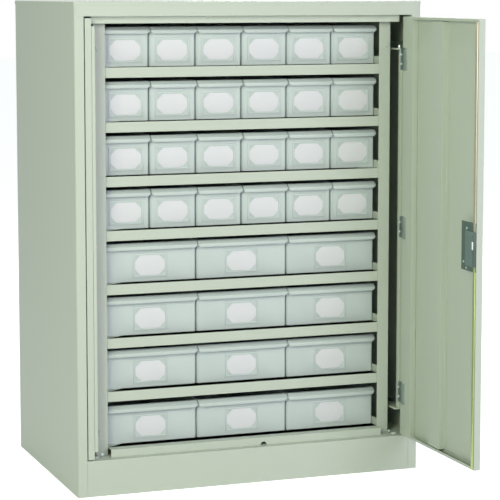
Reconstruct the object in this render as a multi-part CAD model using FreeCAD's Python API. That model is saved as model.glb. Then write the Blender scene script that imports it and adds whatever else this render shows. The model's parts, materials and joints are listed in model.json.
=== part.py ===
import FreeCAD, Part

import math
import os

from FreeCAD import Vector

# A steel parts cabinet with receding doors and moulded drawers.
# X runs to the right, Y into the cabinet and Z up, in mm, from the floor under the middle of the casing.
# A distance called "in" or "depth" below is measured back from the casing's front plane.

# Casing
cabinetWidth = 900.0
cabinetDepth = 590.0
cabinetHeight = 1195.0
casingSheet = 1.2
cornerBend = 3.0
stileWidth = 25.0
stileReturn = 18.0
rearFlange = 20.0
capSkirt = 9.0
railHeight = 34.5
railLedge = 22.0
stopDrop = 17.5
stopReturn = 12.0
stopEndGap = 4.8
plinthHeight = 88.4
baseFlange = 20.0
panelSeam = 0.4

# Rack inside the casing
pocketWidth = 59.8
postWidth = 30.0
postSetback = 50.0
rackRearGap = 45.2
topRowHeight = 123.5
lowestLippedShelf = 245.0
lippedShelves = 7
shelfSheet = 1.2
shelfLip = 25.0
shelfHem = 10.0
shelfFit = 0.4
guideGap = 1.0
guideHeight = 19.0
stopHeight = 15.0
stopRearGap = 28.0
bottomShelfTop = 107.0
bottomShelfSetback = 23.0
notchRadius = 8.0
notchPlace = 38.0

# Drawers
smallRows = 4
smallPerRow = 6
largePerRow = 3
drawerGap = 3.6
drawerPostGap = 1.0
drawerHeadGap = 8.0
drawerSetback = 80.0
drawerWall = 2.2
drawerEndGap = 2.0
drawerLift = 0.2
drawerCorner = 2.5
skidHeight = 3.0
skidWidth = 6.0
skidInset = 8.0
skidSetback = 14.0
pullReach = 15.0
pullDrop = 16.0
pullFlat = 5.0
pullSlope = 8.0
pullCorner = 5.0
cardWidth = 77.0
cardHeight = 49.0
cardCorner = 15.0
cardThickness = 0.5
holderWidth = 88.0
holderHeight = 61.0
holderDepth = 1.0
holderFoot = 9.5

# Doors
doorThickness = 16.0
doorSheet = 1.0
doorRecess = 0.5
doorSideGap = 1.5
mouthGap = 3.2
doorMeetGap = 2.0
doorFootGap = 2.6
doorHeadGap = 4.5
hingeStile = 58.0
freeFlange = 15.0
endLip = 7.0
seamSlit = 0.5
hatFromHinge = 167.0
hatWidth = 62.0
hatFoot = 10.0
hatEndGap = 2.0
stripWidth = 16.0
stripFoot = 6.5
stripDepth = 8.0
stripReach = 1.5
stripInset = 19.0

# Hinges
barrelRadius = 3.2
hingePinRadius = 1.5
pinFit = 0.05
knuckleGap = 0.4
hingeHeight = 54.0
hingeFromEnd = 107.0
hingeLeaf = 1.6
leafReach = 22.0
leafPastPin = 1.0
notchBehindPin = 7.0
notchSpare = 2.0

# Carriages and their rails
carriageSetback = 25.0
carriageInset = 4.5
carriagePostDepth = 20.0
carriageSheet = 1.6
carriageFoot = 142.0
carriageHeadDrop = 84.5
armSheet = 3.0
armInward = 8.0
shoeLength = 80.0
doorSunk = 2.1
railWidth = 22.0
railTall = 16.0
railLip = 7.0
railSheet = 1.2
railDrop = 7.0
railSetback = 22.0
railSpare = 4.0
shoeFit = 0.6
armGap = 0.4
puckRadius = 8.5
puckHeight = 3.6
puckSetback = 30.0
puckGap = 0.5

# Lock
rodWidth = 10.0
rodThickness = 2.5
rodInset = 3.0
rodLift = 0.3
rodThrow = 16.0
rodHeadGap = 8.0
rodFootGap = 3.0
rodHeld = 25.0
rodFit = 0.5
slotFit = 1.2
lockHeight = 622.0
lockCaseHeight = 116.0
lockCaseWidth = 74.0
lockCaseInset = 2.0
lockPlate = 2.0
lockHousingProud = 6.0
lockHousingWidth = 41.0
lockHousingHeight = 82.0
lockHousingDrop = 4.5
lockSlope = 3.0
lockLongSlope = 15.0
cupRadius = 28.0
cupWall = 1.5
cupDepth = 12.0
cupPlace = 45.0
cupRim = 4.0
cupRimThickness = 0.8
cupFit = 0.3
spindleRadius = 4.0
spindleFit = 0.05
spindleInHousing = 1.0
turnLength = 48.0
turnWidth = 13.0
turnThickness = 7.0
turnSlope = 5.0
turnSunk = 1.5

# Places that follow from the sizes above
frontY = -cabinetDepth / 2 + casingSheet
backY = cabinetDepth / 2 - casingSheet
sideX = cabinetWidth / 2 - casingSheet
capUnder = cabinetHeight - casingSheet
wallX = sideX - casingSheet
bendX = sideX - cornerBend - casingSheet
stileX = cabinetWidth / 2 - stileWidth
openingTop = cabinetHeight - railHeight
backInnerY = backY - 2 * casingSheet
rackX = sideX - pocketWidth
rackInnerX = rackX - casingSheet
postX = rackX - postWidth
postY = frontY + postSetback
postBackY = postY + casingSheet
rackBackY = backInnerY - rackRearGap
topShelf = openingTop - topRowHeight
shelfPitch = (topShelf - lowestLippedShelf) / (lippedShelves - 1)
shelfTops = [topShelf - n * shelfPitch for n in range(lippedShelves)]
drawerY = frontY + drawerSetback
drawerStopY = rackBackY - stopRearGap
drawerLength = drawerStopY - drawerEndGap - drawerY
drawerHeight = shelfPitch - shelfLip - drawerHeadGap
drawerSpan = 2 * (postX - drawerPostGap)
drawerPitch = (drawerSpan + drawerGap) / smallPerRow

doorFreeX = doorMeetGap / 2
doorHingeX = stileX - doorSideGap
doorOuterY = frontY + doorRecess
doorInnerY = doorOuterY + doorThickness
doorSkinY = doorOuterY + doorSheet
doorFoot = plinthHeight + doorFootGap
doorHead = openingTop - doorHeadGap
openOuterX = stileX - mouthGap
openInnerX = openOuterX - doorThickness
pinX = openOuterX - barrelRadius
pinY = doorOuterY + barrelRadius
doorTravel = frontY + doorSunk - (pinY - (pinX - doorFreeX))
hingeCentres = (doorFoot + hingeFromEnd, (doorFoot + doorHead) / 2, doorHead - hingeFromEnd)

carriageY = frontY + carriageSetback
railX = wallX - railWidth
railMidX = wallX - railWidth / 2
railLength = doorTravel + carriageSetback + shoeLength + railSpare - railSetback
carriageHead = openingTop - carriageHeadDrop
upperRailFoot = carriageHead + armGap
lowerRailFoot = carriageFoot - railDrop

caseX = doorFreeX + lockCaseInset
caseY = doorInnerY + lockPlate
rodX = doorFreeX + rodInset
rodY = doorInnerY + rodLift
rodInCase = rodHeld + rodThrow
cupX = doorFreeX + cupPlace
cupFloorY = doorOuterY + cupDepth


# A folded sheet's outline: the points run along its outer face, with the sheet on their left.
# bends gives the inside radius of the bend at a point, by the point's place; the others are sharp.
def foldedOutline(points, sheet, bends=None):
    bends = bends or {}
    face = []
    inside = []
    corners = [Vector(u, v, 0) for u, v in points]
    for n, corner in enumerate(corners):
        come = (corner - corners[n - 1]).normalize() if n else None
        go = (corners[n + 1] - corner).normalize() if n < len(corners) - 1 else come
        come = come or go
        leftCome = Vector(-come.y, come.x, 0)
        leftGo = Vector(-go.y, go.x, 0)
        if n not in bends:
            face.append([corner])
            inside.append([corner + (leftCome + leftGo) * (sheet / (1 + come.dot(go)))])
            continue
        turn = come.x * go.y - come.y * go.x
        leftTurn = turn > 0
        faceRadius = bends[n] + sheet if leftTurn else bends[n]
        insideRadius = bends[n] if leftTurn else bends[n] + sheet
        reach = faceRadius * math.tan(abs(math.atan2(turn, come.dot(go))) / 2)
        start = corner - come * reach
        end = corner + go * reach
        centre = start + leftCome * (faceRadius if leftTurn else -faceRadius)
        outward = (corner - centre).normalize()
        face.append([start, centre + outward * faceRadius, end])
        middle = centre + outward * insideRadius
        inside.append([start + leftCome * sheet, middle, end + leftGo * sheet])
    path = face + [stretch[::-1] for stretch in reversed(inside)]
    edges = []
    for n, stretch in enumerate(path):
        if len(stretch) == 3:
            edges.append(Part.Arc(*stretch).toShape())
        edges.append(Part.LineSegment(stretch[-1], path[(n + 1) % len(path)][0]).toShape())
    return Part.Wire(edges)


# A flat outline becomes a solid along X (drawn in Y and Z), along Y (in X and Z) or along Z (in X and Y)
def extruded(wire, along, start, end):
    x = Vector(1, 0, 0)
    y = Vector(0, 1, 0)
    z = Vector(0, 0, 1)
    across, up, way = {"X": (y, z, x), "Y": (x, z, y), "Z": (x, y, z)}[along]
    face = Part.Face(wire)
    face.Placement = FreeCAD.Placement(way * start, FreeCAD.Rotation(across, up, across.cross(up), "XYZ"))
    return face.extrude(way * (end - start))


def folded(points, sheet, along, start, end, bends=None):
    return extruded(foldedOutline(points, sheet, bends), along, start, end)


def polygon(points):
    return Part.makePolygon([Vector(u, v, 0) for u, v in points + points[:1]])


def block(x0, x1, y0, y1, z0, z1):
    return Part.makeBox(x1 - x0, y1 - y0, z1 - z0, Vector(x0, y0, z0))


def upCylinder(radius, x, y, z0, z1):
    return Part.makeCylinder(radius, z1 - z0, Vector(x, y, z0))


def backCylinder(radius, x, z, y0, y1):
    return Part.makeCylinder(radius, y1 - y0, Vector(x, y0, z), Vector(0, 1, 0))


def joined(shapes):
    return shapes[0].fuse(shapes[1:]).removeSplitter()


def mirrored(shape):
    return shape.mirror(Vector(0, 0, 0), Vector(1, 0, 0))


def bothSides(shapes):
    return Part.makeCompound([mirrored(shape) for shape in shapes] + shapes)


def moved(shape, x, y, z):
    copy = shape.copy()
    copy.translate(Vector(x, y, z))
    return copy


# A part of the right door swings from closed to square open about the hinge pins
def swungOpen(shape):
    copy = shape.copy()
    copy.rotate(Vector(pinX, pinY, 0), Vector(0, 0, 1), 90)
    return copy


# The left-hand twin of an open right-hand part stands pushed back in its pocket
def pushedBack(shape):
    return moved(mirrored(shape), 0, doorTravel, 0)


def filleted(shape, radius, wanted):
    return shape.makeFillet(radius, [edge for edge in shape.Edges if wanted(edge.BoundBox)])


def chamfered(shape, size, wanted):
    return shape.makeChamfer(size, [edge for edge in shape.Edges if wanted(edge.BoundBox)])


def upright(box):
    return box.XLength < 0.001 and box.YLength < 0.001


# Casing side: front stile and its return, rolled corner, wall and rear flange.
# Above the doors the stile is cut back to the rolled corner, for the top rail.
def sidePanel():
    outline = [
        (stileX, frontY + stileReturn),
        (stileX, frontY),
        (sideX, frontY),
        (sideX, backY),
        (sideX - rearFlange, backY),
    ]
    panel = folded(outline, casingSheet, "Z", 0, capUnder, {2: cornerBend})
    return panel.cut(block(stileX - 1, bendX, frontY - 1, frontY + stileReturn + 1, openingTop, capUnder + 1))


# Top pan whose skirt laps over the casing all round
def topCap():
    def atFront(box):
        return upright(box) and box.YMax < 0

    def onTop(box):
        return box.ZMin > cabinetHeight - 0.001

    skirtFoot = cabinetHeight - capSkirt
    x = cabinetWidth / 2
    y = cabinetDepth / 2
    pan = block(-x, x, -y, y, skirtFoot, cabinetHeight)
    pan = filleted(pan, cornerBend + 2 * casingSheet, atFront)
    pan = chamfered(pan, casingSheet, onTop)
    room = block(-sideX, sideX, frontY, backY, skirtFoot - 1, capUnder)
    room = filleted(room, cornerBend + casingSheet, atFront)
    return pan.cut(room)


# The room round a lock rod of the closed right door where it passes through the casing
def rodSlot(z0, z1):
    x1 = rodX + rodWidth + slotFit
    return block(rodX - slotFit, x1, rodY - slotFit, rodY + rodThickness + slotFit, z0, z1)


# Rail over the doors: its face and ledge run between the rolled corners, and the door stop hangs
# from the ledge between the two door pockets
def topRail():
    face = [(frontY, capUnder), (frontY, openingTop), (frontY + railLedge, openingTop)]
    stop = [
        (frontY + railLedge, openingTop),
        (frontY + railLedge, openingTop - stopDrop),
        (frontY + railLedge + stopReturn, openingTop - stopDrop),
    ]
    stopEnd = openInnerX - stopEndGap
    rail = folded(face, casingSheet, "X", -bendX, bendX)
    whole = folded(face + stop[1:], casingSheet, "X", -stopEnd, stopEnd)
    return joined([rail, whole]).cut(rodSlot(openingTop - 1, openingTop + casingSheet + 1))


def backPanel():
    return block(-wallX, wallX, backInnerY, backInnerY + casingSheet, 0, capUnder)


# Floor, plinth and foot flange in one tray, notched at the front round the returns of the stiles
def basePan():
    seamX = stileX - panelSeam
    notchY = frontY + stileReturn + panelSeam

    def outline(inset):
        right = [
            (seamX - inset, frontY + inset),
            (seamX - inset, notchY + inset),
            (wallX - inset, notchY + inset),
            (wallX - inset, backInnerY - inset),
        ]
        return polygon([(-x, y) for x, y in right] + right[::-1])

    tray = extruded(outline(0), "Z", 0, plinthHeight)
    room = extruded(outline(casingSheet), "Z", casingSheet, plinthHeight - casingSheet)
    mouth = extruded(outline(baseFlange), "Z", -1, casingSheet + 1)
    slot = rodSlot(plinthHeight - casingSheet - 1, plinthHeight + 1)
    return tray.cut(room).cut(mouth).cut(slot)


# Inner walls: each is a tall channel whose front flange is the post beside the drawers
def rackSides():
    outline = [(postX, postY), (rackX, postY), (rackX, rackBackY), (postX, rackBackY)]
    return bothSides([folded(outline, casingSheet, "Z", plinthHeight, capUnder)])


# The rear of any shelf: plate between the inner walls, drawer stop and a guide at each end
def shelfRear(top):
    stop = [(drawerStopY, top + stopHeight), (drawerStopY, top), (postBackY, top)]
    plate = folded(stop, shelfSheet, "X", -rackInnerX, rackInnerX)
    x = drawerSpan / 2 + guideGap
    y = postBackY + shelfFit
    guide = block(x, x + shelfSheet, y, drawerStopY, top - shelfSheet, top + guideHeight)
    return [plate, guide, mirrored(guide)]


def lippedShelf(top):
    hemY = postY + shelfHem
    front = [(hemY, top), (postY, top), (postY, top - shelfLip), (hemY, top - shelfLip)]
    end = postX - shelfFit
    lip = folded(front, shelfSheet, "X", -end, end)
    return joined([lip] + shelfRear(top))


# The bottom shelf runs forward between the posts and folds down to the floor
def bottomShelf():
    faceY = frontY + bottomShelfSetback
    front = [(postBackY, bottomShelfTop), (faceY, bottomShelfTop), (faceY, plinthHeight)]
    end = postX - shelfFit
    tread = folded(front, shelfSheet, "X", -end, end)
    notch = backCylinder(notchRadius, notchPlace, plinthHeight, faceY - 1, faceY + shelfSheet + 1)
    return joined([tread.cut(notch)] + shelfRear(bottomShelfTop))


# Rails on the casing walls: the upper one is open downwards and the lower one upwards
def slideRails():
    def channel(foot, opensUp):
        mouth = foot + railTall if opensUp else foot
        web = foot if opensUp else foot + railTall
        outline = [
            (railX + railLip, mouth),
            (railX, mouth),
            (railX, web),
            (wallX, web),
            (wallX, mouth),
            (wallX - railLip, mouth),
        ]
        if not opensUp:
            outline.reverse()
        return folded(outline, railSheet, "Y", frontY + railSetback, frontY + railSetback + railLength)

    return bothSides([channel(upperRailFoot, False), channel(lowerRailFoot, True)])


def guidePucks():
    x = openInnerX - puckGap - puckRadius
    y = frontY + puckSetback
    return bothSides([upCylinder(puckRadius, x, y, plinthHeight, plinthHeight + puckHeight)])


# Right door leaf, closed: skin with a box stile along each upright edge, end plates with lips,
# gaps round the hinges and, on the door that locks, a hole for the handle's cup
def doorLeaf(hasLock):
    slitY = doorSkinY + seamSlit
    outline = [
        (doorFreeX + freeFlange, slitY),
        (doorFreeX + freeFlange, doorInnerY),
        (doorFreeX, doorInnerY),
        (doorFreeX, doorOuterY),
        (doorHingeX, doorOuterY),
        (doorHingeX, doorInnerY),
        (doorHingeX - hingeStile, doorInnerY),
        (doorHingeX - hingeStile, slitY),
    ]
    pieces = [folded(outline, doorSheet, "Z", doorFoot, doorHead)]
    lipX = (doorFreeX + freeFlange, doorHingeX - hingeStile)
    lipY = (doorInnerY - doorSheet, doorInnerY)
    pieces.append(block(doorFreeX, doorHingeX, doorOuterY, doorInnerY, doorFoot, doorFoot + doorSheet))
    pieces.append(block(doorFreeX, doorHingeX, doorOuterY, doorInnerY, doorHead - doorSheet, doorHead))
    pieces.append(block(*lipX, *lipY, doorFoot, doorFoot + endLip))
    pieces.append(block(*lipX, *lipY, doorHead - endLip, doorHead))
    leaf = joined(pieces)
    half = hingeHeight / 2 + notchSpare
    notchX = (pinX - notchBehindPin, doorHingeX + 1)
    for z in hingeCentres:
        leaf = leaf.cut(block(*notchX, doorOuterY - 1, doorInnerY + 1, z - half, z + half))
    if hasLock:
        leaf = leaf.cut(backCylinder(cupRadius + cupFit, cupX, lockHeight, doorOuterY - 1, doorSkinY + 1))
    return leaf


# Hat-shaped stiffener on the inside of the skin
def doorStiffener():
    near = doorHingeX - hatFromHinge
    far = near - hatWidth
    footY = doorSkinY + doorSheet
    outline = [
        (near + hatFoot, footY),
        (near, footY),
        (near, doorInnerY),
        (far, doorInnerY),
        (far, footY),
        (far - hatFoot, footY),
    ]
    spare = endLip + hatEndGap
    return folded(outline, doorSheet, "Z", doorFoot + spare, doorHead - spare)


# The door's own half of the three hinges: a flat leaf on the inner face and a web to the upper knuckle
def hingeLeaves():
    half = hingeHeight / 2
    webX = (pinX - leafPastPin, pinX - leafPastPin + hingeLeaf)
    leaves = []
    for z in hingeCentres:
        x1 = pinX + leafPastPin
        leafY = (doorInnerY, doorInnerY + hingeLeaf)
        flat = block(pinX - leafReach, x1, *leafY, z - half, z + half)
        web = block(*webX, pinY, doorInnerY, z + knuckleGap / 2, z + half)
        knuckle = upCylinder(barrelRadius, pinX, pinY, z + knuckleGap / 2, z + half)
        bore = upCylinder(hingePinRadius + pinFit, pinX, pinY, z - half, z + half)
        leaves.append(joined([flat, web, knuckle]).cut(bore))
    return Part.makeCompound(leaves)


# Strip on the other door's free edge: its foot lies on the leaf and its hood covers the slit
def meetingStrip():
    x0 = doorFreeX - stripReach
    x1 = x0 + stripWidth
    outline = [
        (x1, doorInnerY + doorSheet),
        (x1 - stripFoot, doorInnerY + doorSheet),
        (x1 - stripFoot, doorInnerY + stripDepth),
        (x0, doorInnerY + stripDepth),
        (x0, doorInnerY),
    ]
    return folded(outline, doorSheet, "Z", doorFoot + stripInset, doorHead - stripInset)


# Carriage, pulled out: the post that carries the hinges, an arm and a shoe in each rail,
# and the fixed half of each hinge with its lower knuckle and the pin
def carriage():
    foot = lowerRailFoot + railTall + armGap
    backY = carriageY + carriagePostDepth
    innerX = openInnerX + carriageInset
    post = [(innerX, backY), (innerX, carriageY), (openOuterX, carriageY), (openOuterX, backY)]
    steel = [folded(post, carriageSheet, "Z", foot, carriageHead)]
    shoeY = (carriageY, carriageY + shoeLength)
    stemHalf = railWidth / 2 - railLip - shoeFit
    armX = (openInnerX - armInward, railMidX + stemHalf)
    steel.append(block(*armX, *shoeY, foot, foot + armSheet))
    steel.append(block(*armX, *shoeY, carriageHead - armSheet, carriageHead))
    stemX = (railMidX - stemHalf, railMidX + stemHalf)
    headX = (railX + railSheet + shoeFit, wallX - railSheet - shoeFit)
    rise = armGap + railSheet + shoeFit
    top = upperRailFoot + railTall - railSheet - shoeFit
    bottom = lowerRailFoot + railSheet + shoeFit
    upperShoe = joined([
        block(*stemX, *shoeY, carriageHead, carriageHead + rise),
        block(*headX, *shoeY, carriageHead + rise, top),
    ])
    lowerShoe = joined([
        block(*stemX, *shoeY, foot - rise, foot),
        block(*headX, *shoeY, bottom, foot - rise),
    ])
    half = hingeHeight / 2
    clearY = pinY + barrelRadius + knuckleGap
    webX = (openOuterX - hingeLeaf, openOuterX)
    for z in hingeCentres:
        steel.append(block(innerX, openOuterX, carriageY - hingeLeaf, carriageY, z - half, z + half))
        steel.append(block(*webX, clearY, carriageY, z - half, z + half))
        steel.append(upCylinder(hingePinRadius, pinX, pinY, z - half, z + half))
        steel.append(block(*webX, pinY, clearY, z - half, z - knuckleGap / 2))
        steel.append(upCylinder(barrelRadius, pinX, pinY, z - half, z - knuckleGap / 2))
    return Part.makeCompound([joined(steel), upperShoe, lowerShoe])


# Lock on the right door, closed: plate and raised housing on the inner face, with a long slope away
# from the free edge, and the cup of the handle through the skin. The rods run into a channel under
# the housing.
def lockCase():
    topY = caseY + lockHousingProud
    halfCase = lockCaseHeight / 2
    caseZ = (lockHeight - halfCase, lockHeight + halfCase)
    plate = block(caseX, caseX + lockCaseWidth, doorInnerY, caseY, *caseZ)
    middleZ = lockHeight - lockHousingDrop
    faceX = caseX + lockHousingWidth
    slopeX = faceX + lockLongSlope
    outline = polygon([(caseX, doorInnerY), (slopeX, doorInnerY), (slopeX, caseY), (faceX, topY), (caseX, topY)])
    housing = extruded(outline, "Z", middleZ - lockHousingHeight / 2, middleZ + lockHousingHeight / 2)
    housing = chamfered(housing, lockSlope, lambda box: box.YMin > topY - 0.001 and box.ZLength < 0.001)
    cup = backCylinder(cupRadius, cupX, lockHeight, doorOuterY, doorInnerY)
    rim = backCylinder(cupRadius + cupRim, cupX, lockHeight, doorOuterY - cupRimThickness, doorOuterY)
    case = joined([plate, housing, cup, rim])
    mouthY = doorOuterY - cupRimThickness - 1
    boreEnd = caseY + spindleInHousing + spindleFit
    hollow = backCylinder(cupRadius - cupWall, cupX, lockHeight, mouthY, cupFloorY)
    bore = backCylinder(spindleRadius + spindleFit, cupX, lockHeight, cupFloorY - 1, boreEnd)
    case = case.cut([hollow, bore])
    channelX = (rodX - rodFit, rodX + rodWidth + rodFit)
    channelY = (doorInnerY - 1, rodY + rodThickness + rodFit)
    reach = rodInCase + rodFit
    for sign in (-1, 1):
        z = sorted((lockHeight + sign * (halfCase - reach), lockHeight + sign * (halfCase + 1)))
        case = case.cut(block(*channelX, *channelY, *z))
    return case


def turnHandle():
    def endEdge(box):
        return box.XLength < 0.001 and box.ZLength < 0.001

    gripX = (cupX - turnLength / 2, cupX + turnLength / 2)
    gripY = (doorOuterY + turnSunk, doorOuterY + turnSunk + turnThickness)
    gripZ = (lockHeight - turnWidth / 2, lockHeight + turnWidth / 2)
    grip = chamfered(block(*gripX, *gripY, *gripZ), turnSlope, endEdge)
    spindle = backCylinder(spindleRadius, cupX, lockHeight, gripY[1] - 1, caseY + spindleInHousing)
    return joined([grip, spindle])


def lockRod(z0, z1):
    return block(rodX, rodX + rodWidth, rodY, rodY + rodThickness, z0, z1)


# Open moulded drawer on two skids, with a hooded pull over its face and a card in a shallow recess.
# It is drawn with the middle of its face at the origin.
def drawer(width):
    half = width / 2
    body = block(-half, half, 0, drawerLength, skidHeight, drawerHeight)
    body = chamfered(body, drawerCorner, lambda box: upright(box) and box.YMax < 1)
    room = block(
        -half + drawerWall,
        half - drawerWall,
        drawerWall,
        drawerLength - drawerWall,
        skidHeight + drawerWall,
        drawerHeight + 1,
    )
    body = body.cut(room)
    foot = drawerHeight - pullDrop
    hood = [
        (drawerWall, drawerHeight),
        (-pullFlat, drawerHeight),
        (-pullReach, drawerHeight - pullSlope),
        (-pullReach, foot),
    ]
    pull = folded(hood, drawerWall, "X", -half, half)
    frame = block(-half, half, -pullReach - 1, drawerWall, foot, drawerHeight)
    frame = chamfered(frame, pullCorner, lambda box: box.XLength < 0.001 and box.ZMax < foot + 0.001)
    skids = []
    for x in (-half + skidInset, half - skidInset - skidWidth):
        skids.append(block(x, x + skidWidth, skidSetback, drawerLength - skidSetback, 0, skidHeight))
    body = joined([body, pull.common(frame)] + skids)
    holderHalf = holderWidth / 2
    body = body.cut(block(-holderHalf, holderHalf, -1, holderDepth, holderFoot, holderFoot + holderHeight))
    cardZ = holderFoot + holderHeight / 2
    right = [
        (cardWidth / 2 - cardCorner, cardZ - cardHeight / 2),
        (cardWidth / 2, cardZ - cardHeight / 2 + cardCorner),
        (cardWidth / 2, cardZ + cardHeight / 2 - cardCorner),
        (cardWidth / 2 - cardCorner, cardZ + cardHeight / 2),
    ]
    outline = polygon(right + [(-x, z) for x, z in reversed(right)])
    return Part.makeCompound([body, extruded(outline, "Y", holderDepth - cardThickness, holderDepth)])


# One row of drawers on the shelf whose top is given
def drawerRow(parts, name, row, top, perRow):
    pitch = drawerPitch * smallPerRow / perRow
    model = drawer(pitch - drawerGap)
    for n in range(perRow):
        x = (n - (perRow - 1) / 2) * pitch
        parts[f"{name}_{row}_{n + 1}"] = moved(model, x, drawerY, top + drawerLift)


def cabinet():
    side = sidePanel()
    stiffener = swungOpen(doorStiffener())
    leaves = swungOpen(hingeLeaves())
    frame = carriage()
    halfCase = lockCaseHeight / 2
    rodHead = doorHead - rodHeadGap
    rodFoot = doorFoot + rodFootGap
    parts = {
        "side_panel_left": mirrored(side),
        "side_panel_right": side,
        "top_cap": topCap(),
        "top_rail": topRail(),
        "back_panel": backPanel(),
        "base_pan": basePan(),
        "bottom_shelf": bottomShelf(),
        "shelves": Part.makeCompound([lippedShelf(top) for top in shelfTops]),
        "rack_sides": rackSides(),
        "slide_rails": slideRails(),
        "guide_pucks": guidePucks(),
        "carriage_left": pushedBack(frame),
        "carriage_right": frame,
        "door_leaf_left": pushedBack(swungOpen(doorLeaf(False))),
        "door_leaf_right": swungOpen(doorLeaf(True)),
        "door_stiffener_left": pushedBack(stiffener),
        "door_stiffener_right": stiffener,
        "hinge_leaves_left": pushedBack(leaves),
        "hinge_leaves_right": leaves,
        "meeting_strip": pushedBack(swungOpen(meetingStrip())),
        "lock_case": swungOpen(lockCase()),
        "turn_handle": swungOpen(turnHandle()),
        "lock_rod_upper": swungOpen(lockRod(lockHeight + halfCase - rodInCase, rodHead)),
        "lock_rod_lower": swungOpen(lockRod(rodFoot, lockHeight - halfCase + rodInCase)),
    }
    for row, top in enumerate(shelfTops + [bottomShelfTop], 1):
        if row <= smallRows:
            drawerRow(parts, "small_drawer", row, top, smallPerRow)
        else:
            drawerRow(parts, "large_drawer", row, top, largePerRow)
    return parts


os.makedirs("parts", exist_ok=True)
for name, shape in cabinet().items():
    shape.exportStep(f"parts/{name}.step")
print("cabinet built")
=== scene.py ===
import json
import math

import bmesh
import bpy
from mathutils import Euler, Matrix, Vector

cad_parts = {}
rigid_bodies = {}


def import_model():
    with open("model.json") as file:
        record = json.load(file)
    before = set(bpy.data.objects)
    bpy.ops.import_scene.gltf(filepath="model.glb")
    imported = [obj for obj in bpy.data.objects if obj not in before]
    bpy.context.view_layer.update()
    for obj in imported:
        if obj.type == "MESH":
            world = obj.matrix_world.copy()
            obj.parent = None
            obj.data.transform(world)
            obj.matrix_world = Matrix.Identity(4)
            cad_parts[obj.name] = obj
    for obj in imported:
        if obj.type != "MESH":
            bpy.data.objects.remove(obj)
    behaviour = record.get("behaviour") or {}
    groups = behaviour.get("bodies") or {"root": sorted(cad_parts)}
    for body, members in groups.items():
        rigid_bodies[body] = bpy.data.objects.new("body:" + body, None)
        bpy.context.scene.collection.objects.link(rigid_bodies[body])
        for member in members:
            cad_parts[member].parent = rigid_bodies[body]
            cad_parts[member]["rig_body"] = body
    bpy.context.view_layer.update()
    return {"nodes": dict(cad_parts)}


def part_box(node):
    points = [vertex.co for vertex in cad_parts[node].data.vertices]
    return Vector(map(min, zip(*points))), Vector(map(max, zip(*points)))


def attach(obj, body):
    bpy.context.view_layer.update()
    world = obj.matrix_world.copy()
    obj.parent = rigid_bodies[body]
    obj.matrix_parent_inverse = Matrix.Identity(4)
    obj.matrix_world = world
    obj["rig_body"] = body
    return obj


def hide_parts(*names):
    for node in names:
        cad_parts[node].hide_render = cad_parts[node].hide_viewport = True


# A steel parts cabinet with doors that push back into its sides, dressed for a studio picture

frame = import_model()
nodes = frame["nodes"]
scene = bpy.context.scene

camera = {
    "place": (-1.6813, -4.8639, 1.2268),
    "yaw": 20.124,
    "pitch": 6.153,
    "lens": 143.49,
    "shift": -0.0940,
    "reach": 200,
}
studio = {
    "floorSize": 60.0,
    "floorColour": (0.80, 0.80, 0.80),
    "floorGlow": 0.84,
    "roomColour": (0.76, 0.94, 0.92),
    "roomLight": 0.20,
    "aim": (0, -0.1, 0.6),
}
# Each round softbox: its place, width, power and colour
softboxes = {
    "keyLamp": ((1.27, -5.10, 2.15), 3.2, 100.0, (0.94, 0.895, 1.0)),
    "fillLamp": ((-2.4, -3.0, 1.9), 1.6, 60.0, (0.93, 1.0, 0.68)),
    "backLamp": ((2.6, 4.4, 2.4), 2.4, 62.0, (1, 1, 1)),
    "topLamp": ((0.0, 0.6, 4.5), 2.4, 44.0, (1, 1, 1)),
}


# A shader output that takes part in sums
class Signal:
    def __init__(self, recipe, socket):
        self.recipe = recipe
        self.socket = socket

    def math(self, operation, *values):
        return self.recipe.node("ShaderNodeMath", {"operation": operation}, *values)

    def __add__(self, other):
        return self.math("ADD", self, other)

    def __radd__(self, other):
        return self.math("ADD", other, self)

    def __mul__(self, other):
        return self.math("MULTIPLY", self, other)

    def __rmul__(self, other):
        return self.math("MULTIPLY", other, self)

    def __gt__(self, other):
        return self.math("GREATER_THAN", self, other)

    def __lt__(self, other):
        return self.math("LESS_THAN", self, other)


# One material and its nodes
class Recipe:
    def __init__(self, name):
        self.material = bpy.data.materials.new(name)
        self.material.use_nodes = True
        self.tree = self.material.node_tree
        self.tree.nodes.clear()
        self.finish = self.tree.nodes.new("ShaderNodeOutputMaterial")
        self.place = self.node("ShaderNodeTexCoord", {}).out("Object")

    # A node of any type: its settings first, then its sockets in order, or by name
    def node(self, kind, settings, *values, **named):
        made = self.tree.nodes.new(kind)
        for setting, value in settings.items():
            setattr(made, setting, value)
        for socket, value in list(enumerate(values)) + list(named.items()):
            self.fill(made.inputs[socket.replace("_", " ") if isinstance(socket, str) else socket], value)
        return Made(self, made)

    def fill(self, socket, value):
        if isinstance(value, Signal):
            self.tree.links.new(value.socket, socket)
        else:
            socket.default_value = value

    def mix(self, share, first, second):
        made = self.node("ShaderNodeMix", {"data_type": "RGBA"})
        for socket, value in ((0, share), (6, first), (7, second)):
            self.fill(made.made.inputs[socket], value)
        return made.out(2)

    def noise(self, scale, detail=2.0, stretch=None):
        place = self.place
        if stretch:
            place = self.node("ShaderNodeVectorMath", {"operation": "MULTIPLY"}, place, stretch)
        return self.node("ShaderNodeTexNoise", {}, Vector=place, Scale=scale, Detail=detail)

    def axes(self):
        split = self.node("ShaderNodeSeparateXYZ", {}, self.place)
        return split.out(0), split.out(1), split.out(2)

    def bump(self, height, distance):
        return self.node("ShaderNodeBump", {}, Strength=1.0, Distance=distance, Height=height)

    def surface(self, shader):
        self.tree.links.new(shader.socket, self.finish.inputs["Surface"])
        return self.material


# A node just made, which stands for its first output
class Made(Signal):
    def __init__(self, recipe, made):
        super().__init__(recipe, made.outputs[0] if made.outputs else None)
        self.made = made

    def out(self, name):
        return Signal(self.recipe, self.made.outputs[name])


def rgb(*colour):
    return (*colour, 1.0)


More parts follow.
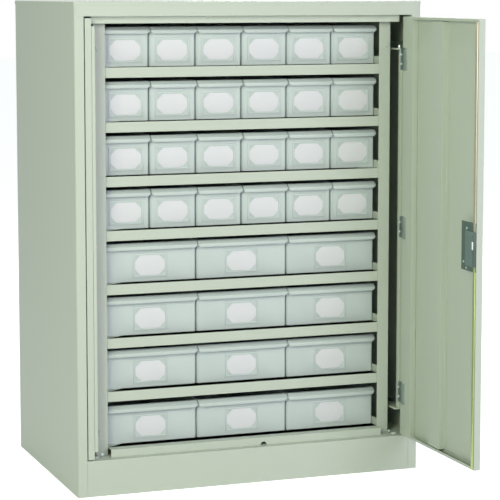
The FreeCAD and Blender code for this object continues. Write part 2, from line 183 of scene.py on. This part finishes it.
def shaded(colour, share):
    return rgb(*[min(1.0, c * share) for c in colour])


paint = {
    "colour": (0.605, 0.655, 0.595),
    "drift": 0.015,
    "cloudScale": 2.2,
    "peelScale": 900.0,
    "peelDepth": 0.00004,
    "gloss": 0.45,
    "glossDrift": 0.05,
}


# Baked enamel: an even satin paint with a fine orange peel
def enamelPaint():
    recipe = Recipe("enamel")
    cloud = recipe.noise(paint["cloudScale"])
    peel = recipe.noise(paint["peelScale"], 1.0)
    dull = shaded(paint["colour"], 1 - paint["drift"])
    clean = shaded(paint["colour"], 1 + paint["drift"])
    shader = recipe.node(
        "ShaderNodeBsdfPrincipled", {},
        Base_Color=recipe.mix(cloud, dull, clean),
        Roughness=paint["gloss"] + paint["glossDrift"] * cloud,
        Normal=recipe.bump(peel, paint["peelDepth"]),
    )
    return recipe.surface(shader)


moulding = {
    "dull": (0.625, 0.70, 0.72),
    "clean": (0.655, 0.725, 0.745),
    "cloudScale": 9.0,
    "grainScale": 1500.0,
    "grainDepth": 0.00003,
    "roughness": 0.42,
    "roughDrift": 0.08,
}


# Frosted moulded plastic of the drawers, a little cooler than the paint
def drawerPlastic():
    recipe = Recipe("drawerPlastic")
    cloud = recipe.noise(moulding["cloudScale"])
    grain = recipe.noise(moulding["grainScale"], 1.0)
    shader = recipe.node(
        "ShaderNodeBsdfPrincipled", {},
        Base_Color=recipe.mix(cloud, rgb(*moulding["dull"]), rgb(*moulding["clean"])),
        Roughness=moulding["roughness"] + moulding["roughDrift"] * cloud,
        Normal=recipe.bump(grain, moulding["grainDepth"]),
    )
    return recipe.surface(shader)


# Paper and nylon: one fine grain that gives both the tint and the relief
def grained(name, dull, clean, grainScale, detail, depth, roughness):
    recipe = Recipe(name)
    grain = recipe.noise(grainScale, detail)
    shader = recipe.node(
        "ShaderNodeBsdfPrincipled", {},
        Base_Color=recipe.mix(grain, rgb(*dull), rgb(*clean)),
        Roughness=roughness,
        Normal=recipe.bump(grain, depth),
    )
    return recipe.surface(shader)


window = {"tint": (0.74, 0.79, 0.77), "cover": 0.05, "scuffScale": 60.0, "roughness": 0.16, "roughDrift": 0.10}


# Clear film: the window of a card holder
def clearFilm():
    recipe = Recipe("clearFilm")
    scuff = recipe.noise(window["scuffScale"], 3.0)
    shader = recipe.node(
        "ShaderNodeBsdfPrincipled", {},
        Base_Color=rgb(*window["tint"]),
        Roughness=window["roughness"] + window["roughDrift"] * scuff,
        Alpha=window["cover"],
    )
    return recipe.surface(shader)


plating = {
    "metal": 0.85,
    "blotchScale": 90.0,
    "blotchDetail": 4.0,
    "brushScale": 500.0,
    "brushStretch": (1.0, 1.0, 0.12),
    "brushDepth": 0.00003,
    "roughDrift": 0.14,
}


# Plated steel with blotches and fine brush marks
def platedSteel(name, colour, roughness, spread=0.10):
    recipe = Recipe(name)
    blotch = recipe.noise(plating["blotchScale"], plating["blotchDetail"])
    brush = recipe.noise(plating["brushScale"], 2.0, plating["brushStretch"])
    shader = recipe.node(
        "ShaderNodeBsdfPrincipled", {},
        Base_Color=recipe.mix(blotch, shaded(colour, 1 - spread), shaded(colour, 1 + spread)),
        Metallic=plating["metal"],
        Roughness=roughness + plating["roughDrift"] * blotch,
        Normal=recipe.bump(brush, plating["brushDepth"]),
    )
    return recipe.surface(shader)


enamel = enamelPaint()
plastic = drawerPlastic()
paper = grained(
    "cardPaper", dull=(0.885, 0.87, 0.965), clean=(0.91, 0.89, 0.98),
    grainScale=700.0, detail=3.0, depth=0.00003, roughness=0.7,
)
film = clearFilm()
zinc = platedSteel("zincPlate", (0.42, 0.51, 0.48), roughness=0.34, spread=0.16)
# The two lock rods are one yellow zinc; the upper rod's brown tint and the lower rod's yellow-green tint are
# painted reflections
brownZinc = platedSteel("brownZinc", (0.60, 0.54, 0.42), roughness=0.34)
yellowZinc = platedSteel("yellowZinc", (0.45, 0.54, 0.24), roughness=0.34)
brightSteel = platedSteel("brightSteel", (0.78, 0.80, 0.78), roughness=0.24)
whiteNylon = grained(
    "nylon", dull=(0.70, 0.72, 0.68), clean=(0.78, 0.80, 0.76),
    grainScale=120.0, detail=2.0, depth=0.00005, roughness=0.45,
)
print("materials made")


mending = {"merge": 0.00002, "flatWithin": 0.5, "bevelOver": 35.0}


def only(piece):
    bpy.ops.object.select_all(action="DESELECT")
    piece.select_set(True)
    bpy.context.view_layer.objects.active = piece


def linked(mesh, name):
    piece = bpy.data.objects.new(name, mesh)
    mesh.name = name
    scene.collection.objects.link(piece)
    return piece


def pieceName(node):
    first, *rest = node.split("_")
    return first + "".join(word.capitalize() for word in rest)


def bodyOf(node):
    return nodes[node]["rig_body"]


def editing(piece):
    only(piece)
    bpy.ops.object.mode_set(mode="EDIT")


def edited():
    bpy.ops.object.mode_set(mode="OBJECT")


# Merges a CAD mesh's doubles and makes its flat faces whole
def whole(piece):
    editing(piece)
    bpy.ops.mesh.select_all(action="SELECT")
    bpy.ops.mesh.remove_doubles(threshold=mending["merge"])
    bpy.ops.mesh.dissolve_limited(angle_limit=math.radians(mending["flatWithin"]))
    edited()
    return piece


def takenFrom(node):
    return whole(linked(nodes[node].data.copy(), pieceName(node)))


# Opens the piece for editing with those faces picked whose middle and normal are wanted
def pick(piece, wanted):
    editing(piece)
    bpy.ops.mesh.select_mode(type="FACE")
    bpy.ops.mesh.select_all(action="DESELECT")
    mesh = bmesh.from_edit_mesh(piece.data)
    for face in mesh.faces:
        face.select_set(bool(wanted(face.calc_center_median(), face.normal)))
    bmesh.update_edit_mesh(piece.data)


# Splits the picked faces off as a piece of their own
def parted(piece, name, wanted):
    pick(piece, wanted)
    bpy.ops.mesh.separate(type="SELECTED")
    edited()
    other = [thing for thing in bpy.context.selected_objects if thing is not piece][0]
    other.name = name
    other.data.name = name
    return other


def closed(piece):
    editing(piece)
    bpy.ops.mesh.select_mode(type="EDGE")
    bpy.ops.mesh.select_all(action="DESELECT")
    bpy.ops.mesh.select_non_manifold(
        use_wire=False, use_boundary=True, use_multi_face=False, use_non_contiguous=False, use_verts=False
    )
    bpy.ops.mesh.fill()
    edited()
    return piece


def bisected(piece, place, normal):
    editing(piece)
    bpy.ops.mesh.select_all(action="SELECT")
    bpy.ops.mesh.bisect(plane_co=place, plane_no=normal)
    edited()
    return piece


def bevelled(piece, width, segments=2):
    only(piece)
    edges = piece.modifiers.new("edges", "BEVEL")
    edges.width = width
    edges.segments = segments
    edges.limit_method = "ANGLE"
    edges.angle_limit = math.radians(mending["bevelOver"])
    edges.use_clamp_overlap = True
    bpy.ops.object.modifier_apply(modifier=edges.name)
    return piece


def cutBy(piece, cutter):
    only(piece)
    bite = piece.modifiers.new("bite", "BOOLEAN")
    bite.operation = "DIFFERENCE"
    bite.object = cutter
    bpy.ops.object.modifier_apply(modifier=bite.name)
    bpy.data.objects.remove(cutter)
    return piece


def finished(piece, material, body, smooth=30.0):
    only(piece)
    bpy.ops.object.shade_smooth_by_angle(angle=math.radians(smooth))
    piece.data.materials.clear()
    piece.data.materials.append(material)
    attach(piece, body)
    return piece


def copied(piece, name, matrix):
    twin = linked(piece.data.copy(), name)
    twin.data.transform(matrix)
    return twin


# A box between two corners
def boxed(name, low, high):
    bpy.ops.object.select_all(action="DESELECT")
    bpy.ops.mesh.primitive_cube_add(size=1)
    piece = bpy.context.object
    piece.name = name
    piece.data.name = name
    low = Vector(low)
    high = Vector(high)
    piece.data.transform(Matrix.Translation((low + high) / 2) @ Matrix.Diagonal((*(high - low), 1.0)))
    return piece


def about(middle, *halves):
    middle = Vector(middle)
    return middle - Vector(halves), middle + Vector(halves)


# Every node has its plain finish first, for those that no piece of their own replaces
for thing in nodes.values():
    thing.data.materials.clear()
    thing.data.materials.append(enamel)

# Pressed steel: the painted sheets with their edges broken
sheets = {
    "edge": 0.00045,
    "smooth": 1.0,
    "nodes": (
        "side_panel_left", "side_panel_right", "top_cap", "top_rail", "back_panel", "base_pan", "bottom_shelf",
        "shelves", "rack_sides", "door_leaf_left", "door_leaf_right", "door_stiffener_left",
        "door_stiffener_right", "meeting_strip",
    ),
}
for node in sheets["nodes"]:
    piece = bevelled(takenFrom(node), sheets["edge"])
    finished(piece, enamel, bodyOf(node), sheets["smooth"])
    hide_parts(node)
print("sheets finished")

# Plated steel and nylon pieces
plated = {
    "edge": 0.0005,
    "finish": {
        "slide_rails": (zinc, "zinc"),
        "hinge_leaves_left": (zinc, "zinc"),
        "hinge_leaves_right": (zinc, "zinc"),
        "turn_handle": (brightSteel, "zinc"),
        # The lock rods: one zinc, told apart only by painted reflections
        "lock_rod_upper": (brownZinc, "zinc"),
        "lock_rod_lower": (yellowZinc, "zinc"),
        "guide_pucks": (whiteNylon, "nylon"),
    },
}
for node, (material, slot) in plated["finish"].items():
    piece = bevelled(takenFrom(node), plated["edge"])
    finished(piece, material, bodyOf(node))
    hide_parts(node)
print("plated pieces finished")

# Heads of rivets and screws are modelled at the origin, pointing up, and placed as copies
fixing = {
    "sides": 28,
    "rivetRadius": 0.0034,
    "rivetTall": 0.0017,
    "rivetRound": 0.0014,
    "screwRadius": 0.0042,
    "screwTall": 0.0018,
    "screwRound": 0.0009,
    "crossLong": 0.0046,
    "crossWide": 0.0010,
    "crossDeep": 0.0011,
    "studRadius": 0.0026,
    "studTall": 0.0085,
}


def roundHead(name, radius, tall, corner):
    bpy.ops.object.select_all(action="DESELECT")
    bpy.ops.mesh.primitive_cylinder_add(vertices=fixing["sides"], radius=radius, depth=tall, location=(0, 0, 0))
    piece = bpy.context.object
    piece.name = name
    piece.data.transform(Matrix.Translation((0, 0, tall / 2)))
    pick(piece, lambda place, normal: normal.z > 0.9)
    bpy.ops.mesh.bevel(offset=corner, segments=3, affect="EDGES")
    edited()
    return piece


def placed(model, name, place, facing):
    turn = Vector((0, 0, 1)).rotation_difference(Vector(facing)).to_matrix().to_4x4()
    return copied(model, name, Matrix.Translation(place) @ turn)


rivetHead = roundHead("rivetHead", fixing["rivetRadius"], fixing["rivetTall"], fixing["rivetRound"])
stud = roundHead("stud", fixing["studRadius"], fixing["studTall"], fixing["screwRound"])
screwHead = roundHead("screwHead", fixing["screwRadius"], fixing["screwTall"], fixing["screwRound"])
for long, wide in ((fixing["crossLong"], fixing["crossWide"]), (fixing["crossWide"], fixing["crossLong"])):
    middle = (0, 0, fixing["screwTall"])
    cutBy(screwHead, boxed("cross", *about(middle, long / 2, wide / 2, fixing["crossDeep"])))

# A carriage comes apart into its painted post and arms, its plated hinge halves and its nylon shoes
carriage = {
    "faceBehindBarrel": 0.0245,
    "shoeTall": 0.0146,
    "edge": 0.0004,
    "hair": 0.00001,
    "plateInward": 0.0182,
    "plateProud": 0.0019,
    "plateHalf": 0.027,
    "plateCorner": 0.0008,
    "rivetInward": 0.0130,
    "rivetSpread": 0.012,
    "pinInward": 0.0170,
    "pinBack": 0.004,
}


def dressCarriage(node, leaves, side):
    body = bodyOf(node)
    low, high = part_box(node)
    faceY = low.y + carriage["faceBehindBarrel"]
    foot = low.z + carriage["shoeTall"]
    head = high.z - carriage["shoeTall"]
    hair = carriage["hair"]

    def ofShoe(place, normal):
        past = place.z > head + hair or place.z < foot - hair
        top = abs(place.z - head) < hair and normal.z < 0
        under = abs(place.z - foot) < hair and normal.z > 0
        return past or top or under

    post = linked(nodes[node].data.copy(), pieceName(node))
    shoes = whole(parted(post, post.name + "Shoes", ofShoe))
    bisected(whole(post), (0, faceY, 0), (0, 1, 0))
    halves = parted(post, post.name + "Hinges", lambda place, normal: place.y < faceY - hair)
    for piece in (post, halves):
        bevelled(closed(piece), carriage["edge"])
    finished(post, enamel, body)
    finished(halves, zinc, body)
    finished(bevelled(shoes, carriage["edge"]), whiteNylon, body)
    for piece in (post, halves, shoes):
        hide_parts(node)
    leafLow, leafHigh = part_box(leaves)
    half = carriage["plateHalf"]
    outer = leafHigh.x if side > 0 else leafLow.x
    inner = outer - side * carriage["plateInward"]
    front = faceY - carriage["plateProud"]
    for n, z in enumerate((leafLow.z + half, (leafLow.z + leafHigh.z) / 2, leafHigh.z - half)):
        plateLow = (min(inner, outer), front, z - half)
        plateHigh = (max(inner, outer), faceY, z + half)
        plate = boxed(f"{post.name}Plate{n + 1}", plateLow, plateHigh)
        finished(bevelled(plate, carriage["plateCorner"]), zinc, body)
        x = outer - side * carriage["rivetInward"]
        for m, rise in enumerate((-carriage["rivetSpread"], carriage["rivetSpread"])):
            rivet = placed(rivetHead, f"{plate.name}Rivet{m + 1}", (x, front, z + rise), (0, -1, 0))
            finished(rivet, brightSteel, body)
    x = outer - side * carriage["pinInward"]
    pin = placed(stud, post.name + "Stud", (x, faceY + carriage["pinBack"], head), (0, 0, 1))
    finished(pin, brightSteel, body)


for node, leaves, side in (
    ("carriage_right", "hinge_leaves_right", 1), ("carriage_left", "hinge_leaves_left", -1),
):
    dressCarriage(node, leaves, side)
print("carriages finished")

# Lock on the open door: places along the door from the case's free edge, and heights above its foot
lock = {
    "edge": 0.0006,
    "leverFrom": 0.0008,
    "leverAlong": 0.0065,
    "leverFoot": 0.0535,
    "leverTall": 0.0195,
    "leverProud": 0.0018,
    "leverRound": 0.00162,
    "slotFrom": 0.0016,
    "slotAlong": 0.0042,
    "slotFoot": 0.028,
    "slotTall": 0.0235,
    "slotDeep": 0.0035,
    "plateUnderFace": 0.006,
    # Painted highlight: the housing's front is painted paler this deep from its face
    "paleTo": 0.003,
    # Painted shade: the case is painted dark this far from its free edge
    "darkTo": 0.0022,
    "plateColour": (0.10, 0.155, 0.135),
    # Colours of the painted highlight on the housing's front and the painted shade along the free edge
    "paleColour": (0.185, 0.27, 0.265),
    "darkColour": (0.045, 0.07, 0.065),
    "blotchColour": (0.24, 0.32, 0.30),
    "blotchShare": 0.35,
    "blotchScale": 260.0,
    "blotchDetail": 4.0,
    "blotchDepth": 0.00005,
    "metal": 0.5,
    "roughness": 0.46,
    "roughDrift": 0.12,
    "rivets": ((0.0460, 0.1000), (0.0616, 0.0193), (0.0470, 0.0062)),
}


# Dark passivated zinc with blotches, painted paler on the housing's front as a painted highlight and darkest
# along the free edge as painted shade
def lockSteel(low):
    recipe = Recipe("lockSteel")
    blotch = recipe.noise(lock["blotchScale"], lock["blotchDetail"])
    x, y = recipe.axes()[:2]
    # Painted highlight on the housing's front, painted shade along the free edge
    paintedHighlight = x < low.x + lock["paleTo"]
    paintedShade = y < low.y + lock["darkTo"]
    tint = recipe.mix(paintedHighlight, rgb(*lock["plateColour"]), rgb(*lock["paleColour"]))
    tint = recipe.mix(paintedShade, tint, rgb(*lock["darkColour"]))
    tint = recipe.mix(blotch * lock["blotchShare"], tint, rgb(*lock["blotchColour"]))
    shader = recipe.node(
        "ShaderNodeBsdfPrincipled", {},
        Base_Color=tint,
        Metallic=lock["metal"],
        Roughness=lock["roughness"] + lock["roughDrift"] * blotch,
        Normal=recipe.bump(blotch, lock["blotchDepth"]),
    )
    return recipe.surface(shader)


def dressLock():
    body = bodyOf("lock_case")
    low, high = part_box("lock_case")
    case = takenFrom("lock_case")
    y0 = low.y + lock["slotFrom"]
    z0 = low.z + lock["slotFoot"]
    slit = boxed(
        "slit",
        (low.x - lock["slotDeep"], y0, z0),
        (low.x + lock["slotDeep"], y0 + lock["slotAlong"], z0 + lock["slotTall"]),
    )
    bevelled(cutBy(case, slit), lock["edge"])
    finished(case, lockSteel(low), body)
    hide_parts("lock_case")
    y0 = low.y + lock["leverFrom"]
    z0 = low.z + lock["leverFoot"]
    lever = boxed(
        "lockLever",
        (low.x - lock["leverProud"], y0, z0),
        (low.x + lock["leverProud"], y0 + lock["leverAlong"], z0 + lock["leverTall"]),
    )
    finished(bevelled(lever, lock["leverRound"], 3), brightSteel, body)
    plateX = low.x + lock["plateUnderFace"]
    for n, (along, rise) in enumerate(lock["rivets"]):
        rivet = placed(rivetHead, f"lockRivet{n + 1}", (plateX, low.y + along, low.z + rise), (-1, 0, 0))
        finished(rivet, zinc, body)


dressLock()
print("lock finished")

# Screws and bolts of the casing
screws = {
    "channelInset": 0.0066,
    "channelRise": 0.0088,
    "postInset": 0.0085,
    "postDrop": 0.1130,
    "postRise": 0.0600,
    "wallSheet": 0.0024,
    "boltBack": (0.1440, 0.1405),
    "boltHeight": (0.1795, 0.1508),
}


def screwAt(name, place, facing, material=zinc):
    finished(placed(screwHead, name, place, facing), material, "cabinet")


low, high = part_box("bottom_shelf")
rackLow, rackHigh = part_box("rack_sides")
sideLow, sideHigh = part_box("side_panel_right")
channelX = high.x - screws["channelInset"]
for side, word in ((-1, "Left"), (1, "Right")):
    foot = low.z + screws["channelRise"]
    screwAt(f"channelScrew{word}", (side * channelX, low.y, foot), (0, -1, 0))
    x = side * (rackHigh.x - screws["postInset"])
    screwAt(f"postScrewTop{word}", (x, rackLow.y, rackHigh.z - screws["postDrop"]), (0, -1, 0), enamel)
    screwAt(f"postScrewFoot{word}", (x, rackLow.y, rackLow.z + screws["postRise"]), (0, -1, 0), enamel)
    wallX = side * (sideHigh.x - screws["wallSheet"])
    for n, (back, height) in enumerate(zip(screws["boltBack"], screws["boltHeight"])):
        screwAt(f"railBolt{word}{n + 1}", (wallX, sideLow.y + back, height), (-side, 0, 0))
for model in (rivetHead, stud, screwHead):
    bpy.data.objects.remove(model)
print("screws placed")

# Drawers: the frame's own shape with its pull and floor lowered a little and a rim pressed round the face,
# a card, a holder round the card and a clear window in the holder
drawer = {
    "edge": 0.0005,
    "rim": 0.0026,
    "rimDepth": 0.0004,
    "pullReach": 0.015,
    "pullBand": 0.0195,
    "pullLower": 0.0028,
    "skidStart": 0.0006,
    "skidTall": 0.0050,
    "floorLower": 0.0028,
    "recess": 0.0010,
    "cardRise": 0.0400,
    "cardHalf": (0.0395, 0.0255),
    "border": 0.0040,
    "proud": 0.0006,
    "holderHalf": (0.0436, 0.0301),
    "soft": 0.0004,
    "windowFront": -0.0001,
    "windowBack": 0.0003,
    "hair": 0.00001,
}


def drawerModel(node):
    low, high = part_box(node)
    middle = (low.x + high.x) / 2
    faceY = low.y + drawer["pullReach"]
    cardZ = low.z + drawer["cardRise"]
    floorY = faceY + drawer["recess"]
    hair = drawer["hair"]
    cardHalfX, cardHalfZ = drawer["cardHalf"]

    def ofCard(place, normal):
        near = abs(place.x - middle) < cardHalfX and abs(place.z - cardZ) < cardHalfZ
        within = faceY + hair < place.y < floorY - hair
        back = abs(place.y - floorY) < hair and normal.y > 0
        return near and (within or back)

    def ofPull(place, normal):
        return place.z > high.z - drawer["pullBand"]

    def ofFloor(place, normal):
        return normal.z < -0.9 and hair < place.z - low.z - drawer["skidStart"] < drawer["skidTall"]

    def ofFace(place, normal):
        return abs(place.y - faceY) < hair and normal.y < -0.9

    name = pieceName(node)
    body = linked(nodes[node].data.copy(), name)
    card = whole(parted(body, name + "Card", ofCard))
    pick(whole(body), ofPull)
    bpy.ops.transform.translate(value=(0, 0, -drawer["pullLower"]))
    edited()
    pick(body, ofFloor)
    bpy.ops.transform.translate(value=(0, 0, -drawer["floorLower"]))
    edited()
    pick(body, ofFace)
    bpy.ops.mesh.inset(thickness=drawer["rim"], depth=-drawer["rimDepth"])
    edited()
    bevelled(body, drawer["edge"])
    halfX, halfZ = drawer["holderHalf"]
    border = drawer["border"]
    place = (middle, faceY, cardZ)
    holder = boxed(
        name + "Holder",
        (middle - halfX, faceY - drawer["proud"], cardZ - halfZ),
        (middle + halfX, floorY, cardZ + halfZ),
    )
    cutBy(holder, boxed("hole", *about(place, halfX - border, 2 * border, halfZ - border)))
    bevelled(holder, drawer["soft"])
    pane = boxed(
        name + "Window",
        (middle - halfX + border, faceY + drawer["windowFront"], cardZ - halfZ + border),
        (middle + halfX - border, faceY + drawer["windowBack"], cardZ + halfZ - border),
    )
    return {"": (body, plastic), "Card": (card, paper), "Holder": (holder, plastic), "Window": (pane, film)}


def dressDrawers(kind):
    row = [node for node in nodes if node.startswith(kind)]
    first = row[0]
    model = drawerModel(first)
    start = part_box(first)[0]
    for node in row:
        step = Matrix.Translation(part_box(node)[0] - start)
        for part, (piece, material) in model.items():
            if node != first:
                piece = copied(piece, pieceName(node) + part, step)
            finished(piece, material, bodyOf(node))
            if not part:
                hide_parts(node)


dressDrawers("small_drawer")
dressDrawers("large_drawer")
print("drawers finished")


# Camera, room and lamps
def lookAlong(yaw, pitch):
    return Euler((math.radians(90 - pitch), 0, math.radians(-yaw)))


lens = bpy.data.cameras.new("camera")
lens.lens = camera["lens"]
lens.shift_y = camera["shift"]
lens.clip_end = camera["reach"]
eye = bpy.data.objects.new("camera", lens)
eye.location = camera["place"]
eye.rotation_euler = lookAlong(camera["yaw"], camera["pitch"])
scene.collection.objects.link(eye)
scene.camera = eye


def softbox(name, place, size, power, colour):
    lamp = bpy.data.lights.new(name, "AREA")
    lamp.shape = "DISK"
    lamp.size = size
    lamp.energy = power
    lamp.color = colour
    thing = bpy.data.objects.new(name, lamp)
    thing.location = place
    aim = Vector(studio["aim"]) - Vector(place)
    thing.rotation_euler = aim.to_track_quat("-Z", "Y").to_euler()
    scene.collection.objects.link(thing)


for name, settings in softboxes.items():
    softbox(name, *settings)


# The floor glows white for the camera and for reflections, under the light and shadow that fall on it
def paintFloor():
    recipe = Recipe("studioFloor")
    ray = recipe.node("ShaderNodeLightPath", {})
    seen = ray.math("MAXIMUM", ray.out("Is Camera Ray"), ray.out("Is Glossy Ray"))
    seen = ray.math("MAXIMUM", seen, ray.out("Is Transmission Ray"))
    matt = recipe.node("ShaderNodeBsdfDiffuse", {}, Color=rgb(*studio["floorColour"]))
    glow = recipe.node("ShaderNodeEmission", {}, Color=rgb(1, 1, 1), Strength=seen * studio["floorGlow"])
    return recipe.surface(recipe.node("ShaderNodeAddShader", {}, matt, glow))


bpy.ops.mesh.primitive_plane_add(size=studio["floorSize"], location=(0, 0, 0))
floor = bpy.context.object
floor.name = "studioFloor"
floor.data.materials.append(paintFloor())

world = bpy.data.worlds.new("studioRoom")
scene.world = world
world.use_nodes = True
tree = world.node_tree
tree.nodes.clear()


def backdrop(colour, strength):
    made = tree.nodes.new("ShaderNodeBackground")
    made.inputs["Color"].default_value = rgb(*colour)
    made.inputs["Strength"].default_value = strength
    return made


# White where the camera or a reflection looks into the room, and a soft light on the cabinet
path = tree.nodes.new("ShaderNodeLightPath")
white = backdrop((1, 1, 1), 1.0)
soft = backdrop(studio["roomColour"], studio["roomLight"])
either = tree.nodes.new("ShaderNodeMath")
either.operation = "MAXIMUM"
tree.links.new(path.outputs["Is Camera Ray"], either.inputs[0])
tree.links.new(path.outputs["Is Glossy Ray"], either.inputs[1])
choice = tree.nodes.new("ShaderNodeMixShader")
tree.links.new(either.outputs[0], choice.inputs[0])
tree.links.new(soft.outputs[0], choice.inputs[1])
tree.links.new(white.outputs[0], choice.inputs[2])
sky = tree.nodes.new("ShaderNodeOutputWorld")
tree.links.new(choice.outputs[0], sky.inputs["Surface"])

scene.view_settings.view_transform = "Standard"
print("studio set")
